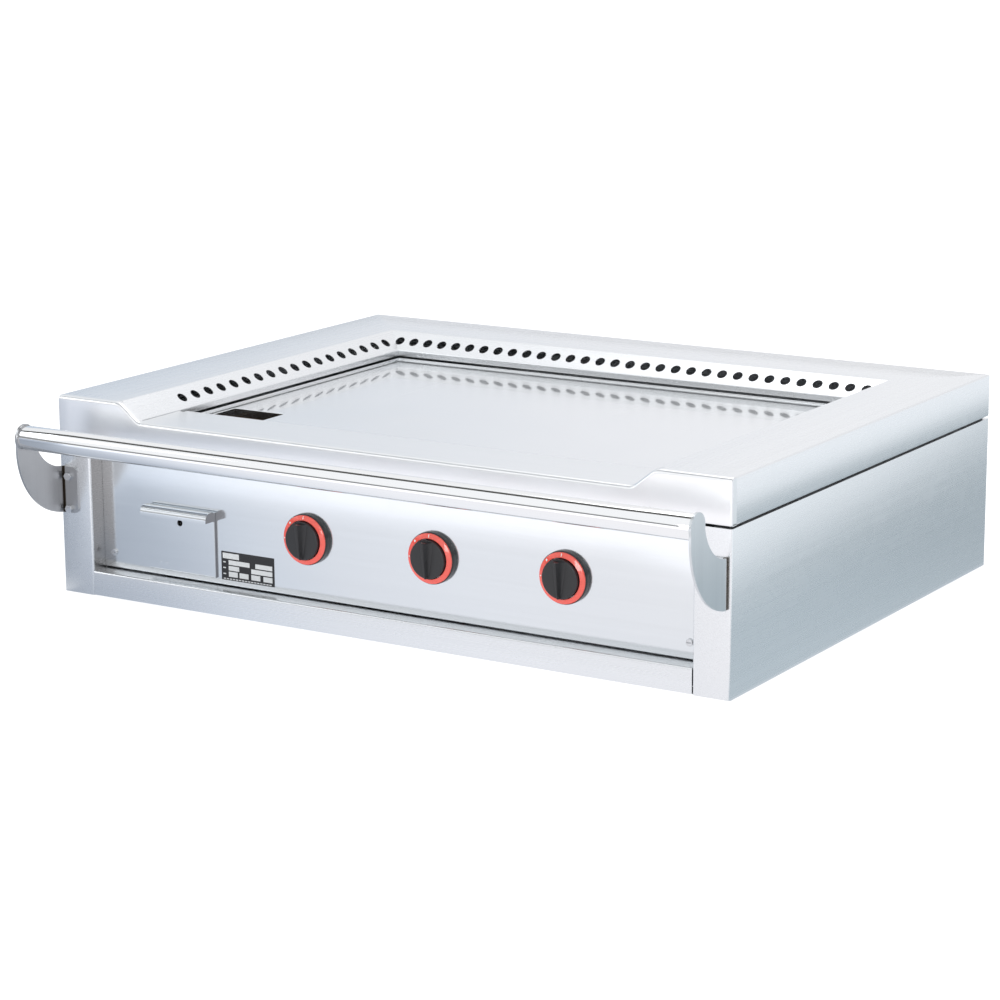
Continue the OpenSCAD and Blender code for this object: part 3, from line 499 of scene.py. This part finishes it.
for x, z in left:
    if x < SX:
        rows.append(trim_section(x, z, 0.0, EDGE_BACK, False))
zl_ = zedge(left, SX)
rows.append(trim_section(SX, zl_, 0.0, EDGE_BACK, False))
rows.append(trim_section(SX, zl_, 0.0, 88.0, False))
for x, z in left:
    if SX < x < 139.5:
        rows.append(trim_section(x, z, 0.0, 88.0, False))
rows.append(trim_section(140.0, zedge(left, 140.0), 0.0, 88.0, False))
rows.append(trim_section(140.0, zedge(left, 140.0), 0.0, STRIP_D, True))
for x, z in left:
    if x > 140.5:
        rows.append(trim_section(x, z, 0.0, STRIP_D, True))
for x in range(200, 801, 50):
    rows.append(trim_section(float(x), ZS, 0.0, STRIP_D, True))
mirror = []
for row in rows:
    if row[0][0] < 190.0:
        mirror.append([(BW - p[0], p[1], p[2]) for p in row])
rows += mirror[::-1]
verts, faces = closed_grid([[C(*p) for p in row] for row in rows])
nv = len(verts)
for side in (0, 1):
    outl = [(END_R, Z0 + END_R * 0.0 + 0.4), (END_R, ZT - EDGE_R)]
    outl += [(EDGE_R - (EDGE_R - END_R) * math.cos(math.radians(a)), ZT - EDGE_R + (EDGE_R - END_R) * math.sin(math.radians(a))) for a in range(10, 91, 10)]
    outl += [(EDGE_BACK, ZT - END_R), (EDGE_BACK, Z0 + 0.4)]
    xa, xb = (0.0, TT) if side == 0 else (BW, BW - TT)
    m = len(outl)
    verts += [C(xa, y, z) for y, z in outl] + [C(xb, y, z) for y, z in outl]
    faces.append(tuple(nv + k for k in range(m)))
    faces.append(tuple(nv + m + k for k in range(m - 1, -1, -1)))
    faces += [(nv + k, nv + (k + 1) % m, nv + m + (k + 1) % m, nv + m + k) for k in range(m)]
    nv += 2 * m
trim = make("front_trim_skin", verts, faces, M["trim"], "cabinet", sharp=50.0)
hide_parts("front_trim")

# ------------------------------------------------------------------ turned pieces


def lathe(name, x, z, profile, seg, mat, body, extra=None, sharp=40.0):
    """Closed ring or disc about the Y axis through (x, z). profile: (radius, y) in corner mm, closed."""
    rows_ = []
    for k in range(seg):
        a = 2 * math.pi * k / seg
        rows_.append([C(x + r_ * math.sin(a), y_, z + r_ * math.cos(a)) for r_, y_ in profile])
    v, fcs = [p for r_ in rows_ for p in r_], []
    n = len(profile)
    for k in range(seg):
        k2 = (k + 1) % seg
        for j in range(n):
            j2 = (j + 1) % n
            fcs.append((k * n + j, k * n + j2, k2 * n + j2, k2 * n + j))
    if extra:
        base = len(v)
        v += extra[0]
        fcs += [tuple(base + i for i in fc) for fc in extra[1]]
    return make(name, v, fcs, mat, body, sharp=sharp)


def rounded(points, radii, n=4):
    """Closed 2-D outline with each corner rounded by its own radius."""
    out = []
    m = len(points)
    for i, (p, r_) in enumerate(zip(points, radii)):
        a, b = points[i - 1], points[(i + 1) % m]
        if r_ <= 0:
            out.append(p)
        else:
            out += arc2(a, p, b, r_, n)
    return out


KZ = 113.0
KNOBS = (383.0, 573.0, 763.0)


def grip(x):
    """Wedge on the knob: wide and tall at the top, a point at the bottom, with scooped flanks."""
    rows_ = []
    n_side = 9
    ws = [-24.0, -23.4, -22.0] + [-20.0 + 2.5 * k for k in range(16)] + [19.6, 21.0, 21.9, 22.3]
    for w in ws:
        t = (w + 24.0) / 46.0
        hw = 1.3 + (9.3 - 1.3) * (t ** 0.72)
        crest = 0.9 + 1.0 * t
        H = 5.2 + (11.8 - 5.2) * (t ** 0.85)
        if w > 21.5:
            H *= 0.965 if w < 22.0 else 0.90
        if w < -23.0:
            H *= 0.75 if w < -23.7 else 0.92
        crest = min(crest, hw * 0.7)
        left_ = [(-hw - 0.5, -1.2), (-hw - 0.15, 0.0)]
        for k in range(1, n_side):
            q = k / n_side
            uu = -hw + (hw - crest) * q
            left_.append((uu, (H - 0.5) * (0.34 * q + 0.66 * q ** 2.3)))
        left_ += [(-crest, H - 0.35), (-crest + 0.35, H)]
        prof = left_ + [(-a, b) for a, b in reversed(left_)]
        rows_.append([C(x + a, 9.6 - b, KZ + w) for a, b in prof])
    return closed_grid(rows_)


for i, kx in enumerate(KNOBS, 1):
    prof = rounded([(4.2, 20.4), (24.6, 20.4), (25.0, 9.5), (0.01, 9.5), (0.01, 11.5), (4.2, 11.5)], [0, 0.5, 1.3, 0, 0, 0.0], 5)
    k = lathe("knob_%d_grip" % i, kx, KZ, prof, 96, M["black"], "tap_knob_%d" % i, grip(kx), 42.0)
    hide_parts("knob_%d" % i)
    bz = rounded([(25.7, 25.0), (33.5, 25.0), (33.2, 18.6), (32.2, 17.5), (25.7, 15.4)], [0, 0.4, 0.6, 0.4, 0.3], 4)
    b = lathe("bezel_%d_ring" % i, kx, KZ, bz, 96, M["bezel"], "cabinet")
    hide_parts("bezel_%d" % i)
    dr = rounded([(25.75, 15.35), (32.2, 17.45), (32.2, 16.7), (31.6, 15.9), (26.3, 13.95), (25.75, 14.2)], [0, 0, 0.35, 0.4, 0.3, 0.15], 4)
    d = lathe("dial_%d_ring" % i, kx, KZ, dr, 128, M["coral"], "cabinet")
    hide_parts("dial_ring_%d" % i)

# white marks on the dial rings: off at the top, high and low to the left


def cone_patch(x, r0_, r1_, a0, a1, lift=0.16, nr=3, na=5, taper=1.0):
    """Thin raised patch on the dial cone between two radii and two angles (degrees clockwise from the top)."""
    top, bot = [], []
    for i_ in range(nr + 1):
        r_ = r0_ + (r1_ - r0_) * i_ / nr
        y_ = 13.95 + (r_ - 26.3) * (15.9 - 13.95) / (31.6 - 26.3)
        for j_ in range(na + 1):
            q = j_ / na
            k_ = 1.0 + (taper - 1.0) * i_ / nr
            a_ = math.radians((a0 + a1) / 2 + (q - 0.5) * (a1 - a0) * k_)
            top.append(C(x + r_ * math.sin(a_), y_ - lift, KZ + r_ * math.cos(a_)))
            bot.append(C(x + r_ * math.sin(a_), y_ + 0.3, KZ + r_ * math.cos(a_)))
    n_ = na + 1
    v = top + bot
    o_ = len(top)
    fc = []
    for i_ in range(nr):
        for j_ in range(na):
            a_, b_, c_, d_ = i_ * n_ + j_, i_ * n_ + j_ + 1, (i_ + 1) * n_ + j_ + 1, (i_ + 1) * n_ + j_
            fc += [(a_, b_, c_, d_), (o_ + d_, o_ + c_, o_ + b_, o_ + a_)]
    rim = [j_ for j_ in range(na)] + [i_ * n_ + na for i_ in range(nr)] + [nr * n_ + j_ for j_ in range(na, 0, -1)] + [i_ * n_ for i_ in range(nr, 0, -1)]
    for q in range(len(rim)):
        a_, b_ = rim[q], rim[(q + 1) % len(rim)]
        fc.append((a_, o_ + a_, o_ + b_, b_))
    return v, fc


def joined(parts):
    v, fc = [], []
    for a_, b_ in parts:
        base = len(v)
        v += a_
        fc += [tuple(base + i_ for i_ in q) for q in b_]
    return v, fc


for i, kx in enumerate(KNOBS, 1):
    parts = [cone_patch(kx, 27.4, 30.9, -1.1, 1.1), cone_patch(kx, 27.9, 30.5, -45 - 3.0, -45 + 3.0, taper=0.45),
             cone_patch(kx, 28.4, 30.2, -90 - 1.7, -90 + 1.7, taper=0.6)]
    v, fc = joined(parts)
    make("dial_%d_marks" % i, v, fc, M["white"], "cabinet", sharp=30.0)

# ------------------------------------------------------------------ data plate: blank fields only


def slab(x0_, y0_, z0_, x1_, y1_, z1_):
    v = [C(x, y, z) for x in (x0_, x1_) for y in (y0_, y1_) for z in (z0_, z1_)]
    return v, [(0, 1, 3, 2), (4, 6, 7, 5), (0, 4, 5, 1), (2, 3, 7, 6), (0, 2, 6, 4), (1, 5, 7, 3)]


PX0, PZ1, PW, PH = 244.5, 80.0, 84.0, 38.0
FIELDS = [(0.03, 0.05, 0.34, 0.24), (0.14, 0.29, 0.54, 0.45), (0.65, 0.29, 0.97, 0.45), (0.14, 0.49, 0.34, 0.65), (0.57, 0.49, 0.97, 0.65),
          (0.14, 0.69, 0.31, 0.87), (0.345, 0.69, 0.515, 0.87), (0.57, 0.69, 0.74, 0.87), (0.80, 0.69, 0.97, 0.87)]
parts = [slab(PX0 + a * PW, 24.02, PZ1 - d * PH, PX0 + c * PW, 24.3, PZ1 - b * PH) for a, b, c, d in FIELDS]
for row_z in (0.37, 0.57, 0.78):
    parts.append(slab(PX0 + 0.035 * PW, 24.04, PZ1 - (row_z + 0.02) * PH, PX0 + 0.085 * PW, 24.3, PZ1 - (row_z - 0.02) * PH))
for k in range(16):
    parts.append(slab(PX0 + (0.04 + 0.058 * k) * PW, 24.04, PZ1 - 0.965 * PH, PX0 + (0.04 + 0.058 * k + 0.042) * PW, 24.3, PZ1 - 0.93 * PH))
v, fc = joined(parts)
make("data_plate_fields", v, fc, M["field"], "cabinet", smooth=False)

# ------------------------------------------------------------------ hand rail

def tube(name, x0_, x1_, y, z, ro, ri, seg, mat, body):
    prof = [(x0_, ri), (x0_, ro - 0.5), (x0_ + 0.15, ro - 0.15), (x0_ + 0.5, ro)]
    n_mid = 12
    prof += [(x0_ + 0.5 + (x1_ - x0_ - 1.0) * k_ / n_mid, ro) for k_ in range(1, n_mid + 1)]
    prof += [(x1_ - 0.15, ro - 0.15), (x1_, ro - 0.5), (x1_, ri)]
    v, fc = [], []
    m = len(prof)
    for k_ in range(seg):
        a_ = 2 * math.pi * k_ / seg
        v += [C(px_, y + pr * math.cos(a_), z + pr * math.sin(a_)) for px_, pr in prof]
    for k_ in range(seg):
        k2 = (k_ + 1) % seg
        for j_ in range(m):
            j2 = (j_ + 1) % m
            fc.append((k_ * m + j_, k_ * m + j2, k2 * m + j2, k2 * m + j_))
    return make(name, v, fc, mat, body, sharp=50.0)


rail = tube("hand_rail_polished", 7.0, 993.0, -75.0, 223.0, 15.9, 14.4, 160, M["rail"], "cabinet")
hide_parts("rail_tube")

# spot weld marks near the bottom of the drawer front
parts = []
for wx in (147.6, 157.8):
    rows_ = []
    for rr, yy in ((2.1, 19.99), (1.7, 19.86), (1.1, 19.8), (0.55, 19.86), (0.08, 19.9)):
        rows_.append([C(wx + rr * math.cos(a_ * math.pi / 8), yy, 53.6 + rr * math.sin(a_ * math.pi / 8)) for a_ in range(16)])
    parts.append(closed_grid(rows_))
v, fc = joined(parts)
make("drawer_weld_marks", v, fc, M["panel"], "drawer", sharp=60.0)

# ------------------------------------------------------------------ camera and light

yaw, pitch, roll = (math.radians(a) for a in (-31.97975, -12.97938, -0.34410))
f = Vector((math.sin(yaw) * math.cos(pitch), math.cos(yaw) * math.cos(pitch), math.sin(pitch)))
r0 = Vector((math.cos(yaw), -math.sin(yaw), 0.0))
u0 = r0.cross(f)
cr, sr = math.cos(roll), math.sin(roll)
r = cr * r0 + sr * u0
u = -sr * r0 + cr * u0
cam_data = bpy.data.cameras.new("camera")
cam_data.sensor_width = 36.0
cam_data.lens = 106.893
cam_data.clip_start, cam_data.clip_end = 0.1, 60.0
cam = bpy.data.objects.new("camera", cam_data)
scene.collection.objects.link(cam)
cam.matrix_world = Matrix(((r.x, u.x, -f.x, 2.02959), (r.y, u.y, -f.y, -3.32746), (r.z, u.z, -f.z, 1.00612), (0, 0, 0, 1)))
scene.camera = cam


def area(name, loc, target, size, power, color=(1, 1, 1), size_y=None):
    d = bpy.data.lights.new(name, "AREA")
    d.energy = power
    d.color = color
    d.shape = "RECTANGLE"
    d.size = size
    d.size_y = size_y or size
    o = bpy.data.objects.new(name, d)
    scene.collection.objects.link(o)
    o.location = loc
    o.rotation_euler = (Vector(target) - Vector(loc)).to_track_quat("-Z", "Y").to_euler()
    return o


area("top_softbox", (0.2, 0.3, 3.0), (0, 0, 0.1), 2.6, 26, (1.0, 1.0, 1.0), 2.2)
area("front_softbox", (0.45, -3.6, 0.75), (0, 0, 0.12), 0.8, 16, (1.0, 1.0, 1.0), 1.0)
area("left_softbox", (-3.0, -1.6, 1.8), (0, 0, 0.1), 1.8, 14, (0.93, 0.97, 1.0), 1.6)


def ramp_node(nt, value, stops):
    r_ = nt.nodes.new("ShaderNodeValToRGB")
    nt.links.new(value, r_.inputs[0])
    el = r_.color_ramp.elements
    el[0].position, el[0].color = stops[0][0], (*stops[0][1], 1)
    el[1].position, el[1].color = stops[-1][0], (*stops[-1][1], 1)
    for p_, c_ in stops[1:-1]:
        el.new(p_).color = (*c_, 1)
    return r_.outputs[0]


def remap(nt, value, a0, a1, b0=0.0, b1=1.0, smooth=False):
    m_ = nt.nodes.new("ShaderNodeMapRange")
    if smooth:
        m_.interpolation_type = "SMOOTHSTEP"
    nt.links.new(value, m_.inputs[0])
    for k_, v_ in enumerate((a0, a1, b0, b1)):
        m_.inputs[1 + k_].default_value = v_
    return m_.outputs[0]


def mathn(nt, op, a, b):
    m_ = nt.nodes.new("ShaderNodeMath")
    m_.operation = op
    for k_, v_ in enumerate((a, b)):
        if isinstance(v_, bpy.types.NodeSocket):
            nt.links.new(v_, m_.inputs[k_])
        else:
            m_.inputs[k_].default_value = v_
    return m_.outputs[0]


def mixc(nt, fac, a, b):
    m_ = nt.nodes.new("ShaderNodeMix")
    m_.data_type = "RGBA"
    for k_, v_ in ((0, fac), (6, a), (7, b)):
        if isinstance(v_, bpy.types.NodeSocket):
            nt.links.new(v_, m_.inputs[k_])
        else:
            m_.inputs[k_].default_value = v_
    return m_.outputs[2]


# the studio round the object: white walls, bluer and darker to the back left, a dark gap between the ceiling lights
world = bpy.data.worlds.new("studio")
scene.world = world
world.use_nodes = True
wn = world.node_tree
wn.nodes.clear()
wo = wn.nodes.new("ShaderNodeOutputWorld")
bg = wn.nodes.new("ShaderNodeBackground")
wtc = wn.nodes.new("ShaderNodeTexCoord")
sep = wn.nodes.new("ShaderNodeSeparateXYZ")
wn.links.new(wtc.outputs["Generated"], sep.inputs[0])
dx, dy, dz = sep.outputs[0], sep.outputs[1], sep.outputs[2]
across = mathn(wn, "ADD", mathn(wn, "MULTIPLY", dx, 0.82), mathn(wn, "MULTIPLY", dy, 0.57))
side = ramp_node(wn, remap(wn, across, -0.6, 0.6), [(0.0, (0.58, 0.67, 0.78)), (0.36, (0.66, 0.755, 0.88)), (0.47, (0.83, 0.88, 0.95)), (0.565, (1.02, 1.03, 1.07)), (0.66, (1.11, 1.11, 1.13)), (1.0, (1.06, 1.06, 1.08))])
up = ramp_node(wn, remap(wn, dz, -0.2, 1.0), [(0.0, (0.90, 0.90, 0.90)), (0.17, (0.97, 0.97, 0.97)), (0.45, (1.0, 1.0, 1.0)), (1.0, (1.15, 1.15, 1.15))])
high = ramp_node(wn, remap(wn, across, -0.6, 0.6), [(0.0, (0.97, 0.98, 1.0)), (0.45, (1.0, 1.0, 1.01)), (1.0, (1.02, 1.02, 1.04))])
side = mixc(wn, remap(wn, dz, 0.30, 0.46, 0.0, 1.0, True), side, high)
col = mixc(wn, 1.0, side, up)
wn.nodes[-1].blend_type = "MULTIPLY"
front = remap(wn, dy, 0.05, -0.1, 0.0, 1.0, True)
col = mixc(wn, front, col, (1.12, 1.13, 1.15, 1.0))
hor = mathn(wn, "MULTIPLY", remap(wn, mathn(wn, "ABSOLUTE", mathn(wn, "SUBTRACT", dz, 0.095), 0.0), 0.11, 0.055, 0.0, 1.0, True), front)
col = mixc(wn, mathn(wn, "MULTIPLY", hor, 0.85), col, (0.17, 0.175, 0.18, 1.0))
wn.links.new(col, bg.inputs[0])
bg.inputs[1].default_value = 0.92
wn.links.new(bg.outputs[0], wo.inputs[0])

# floor: pale paper, softly lit from within so that it stays pale far away
fm = Graph("floor_paper")
spot = fm.noise(fm.mapped((1.3, 1.3, 1.3)), 1.0, 3.0, 0.5)
fm.link(fm.mix(spot, rgb((0.40, 0.40, 0.40)), rgb((0.43, 0.43, 0.43))), fm.bsdf.inputs["Base Color"])
fm.bsdf.inputs["Roughness"].default_value = 0.9
fm.bsdf.inputs["Specular IOR Level"].default_value = 0.1
fm.bsdf.inputs["Emission Color"].default_value = (1.0, 1.0, 1.0, 1.0)
fm.bsdf.inputs["Emission Strength"].default_value = 0.78
fme = bpy.data.meshes.new("floor")
fme.from_pydata([(-60, -60, 0), (60, -60, 0), (60, 60, 0), (-60, 60, 0)], [], [(0, 1, 2, 3)])
fme.materials.append(fm.mat)
floor = bpy.data.objects.new("floor", fme)
scene.collection.objects.link(floor)
floor.location.z = -0.0008

# reflector sheet on the floor: only reflections see it, so the steel picks up a soft studio gradient
rm = Graph("reflector_gradient")
rt = rm.nt
rt.nodes.remove(rm.bsdf)
em = rm.n("ShaderNodeEmission")
rt.links.new(em.outputs[0], rm.out.inputs[0])
rsep = rm.n("ShaderNodeSeparateXYZ")
rt.links.new(rm.tc.outputs["Object"], rsep.inputs[0])
rx, ry = rsep.outputs[0], rsep.outputs[1]
sv = mathn(rt, "ADD", rx, mathn(rt, "MULTIPLY", mathn(rt, "SUBTRACT", -0.44, ry), 0.9))
fcol = ramp_node(rt, remap(rt, sv, -0.8, 0.8), [(0.0, (0.36, 0.40, 0.47)), (0.125, (0.40, 0.445, 0.52)), (0.25, (0.57, 0.62, 0.71)), (0.34, (0.78, 0.825, 0.91)), (0.4375, (0.90, 0.92, 0.98)), (0.5625, (0.97, 0.98, 1.03)), (0.8125, (1.01, 1.0, 1.03)), (1.0, (1.01, 1.0, 1.03))])
rcol = ramp_node(rt, remap(rt, rx, 0.5, 1.3), [(0.0, (0.55, 0.63, 0.685)), (0.25, (0.485, 0.57, 0.625)), (0.41, (0.44, 0.52, 0.565)), (0.465, (0.56, 0.64, 0.69)), (0.50, (1.05, 1.12, 1.18)), (0.58, (1.21, 1.26, 1.30)), (1.0, (1.16, 1.20, 1.25))])
rfar = remap(rt, ry, -0.25, 0.7, 1.0, 0.82, True)
rfar = mathn(rt, "MAXIMUM", rfar, remap(rt, rx, 0.85, 0.89, 0.0, 0.88, True))
rcol = mixc(rt, 1.0, rcol, rfar)
rt.nodes[-1].blend_type = "MULTIPLY"
rmask = mathn(rt, "MULTIPLY", remap(rt, rx, 0.49, 0.51, 0.0, 1.0, True), remap(rt, ry, -0.50, -0.38, 0.0, 1.0, True))
back = remap(rt, ry, 0.36, 0.40, 0.0, 1.0, True)
leftm = mathn(rt, "MULTIPLY", remap(rt, rx, -0.49, -0.51, 0.0, 1.0, True), remap(rt, ry, -0.45, -0.36, 0.0, 1.0, True))
tot = mixc(rt, leftm, fcol, (0.78, 0.81, 0.86, 1.0))
tot = mixc(rt, back, tot, (0.82, 0.84, 0.88, 1.0))
tot = mixc(rt, rmask, tot, rcol)
rt.links.new(tot, em.inputs[0])
rt.links.new(remap(rt, ry, -1.27, -1.12, 1.36, 1.0, True), em.inputs[1])
rme = bpy.data.meshes.new("reflector_sheet")
rme.from_pydata([(-12, -12, 0), (12, -12, 0), (12, 12, 0), (-12, 12, 0)], [], [(0, 1, 2, 3)])
rme.materials.append(rm.mat)
sheet = bpy.data.objects.new("reflector_sheet", rme)
scene.collection.objects.link(sheet)
sheet.location.z = -0.0004
sheet.visible_camera = False
sheet.visible_diffuse = False
sheet.visible_shadow = False
sheet.visible_transmission = False
sheet.visible_volume_scatter = False

# dark flag above the hand rail: only reflections see it, it draws the dark line along the tube
gm = Graph("flag_dark")
gm.nt.nodes.remove(gm.bsdf)
ge = gm.n("ShaderNodeEmission")
ge.inputs[0].default_value = (0.10, 0.10, 0.095, 1.0)
gm.nt.links.new(ge.outputs[0], gm.out.inputs[0])
gme = bpy.data.meshes.new("rail_flag")
gme.from_pydata([(-1.6, -0.523, 0.50), (0.9, -0.523, 0.50), (0.9, -0.437, 0.50), (-1.6, -0.437, 0.50)], [], [(0, 1, 2, 3)])
gme.materials.append(gm.mat)
flag = bpy.data.objects.new("rail_flag", gme)
scene.collection.objects.link(flag)
flag.visible_camera = False
flag.visible_diffuse = False
flag.visible_shadow = False
flag.visible_transmission = False
flag.visible_volume_scatter = False

scene.view_settings.view_transform = "Standard"
scene.view_settings.look = "None"
scene.view_settings.exposure = 0.0
scene.view_settings.gamma = 1.0
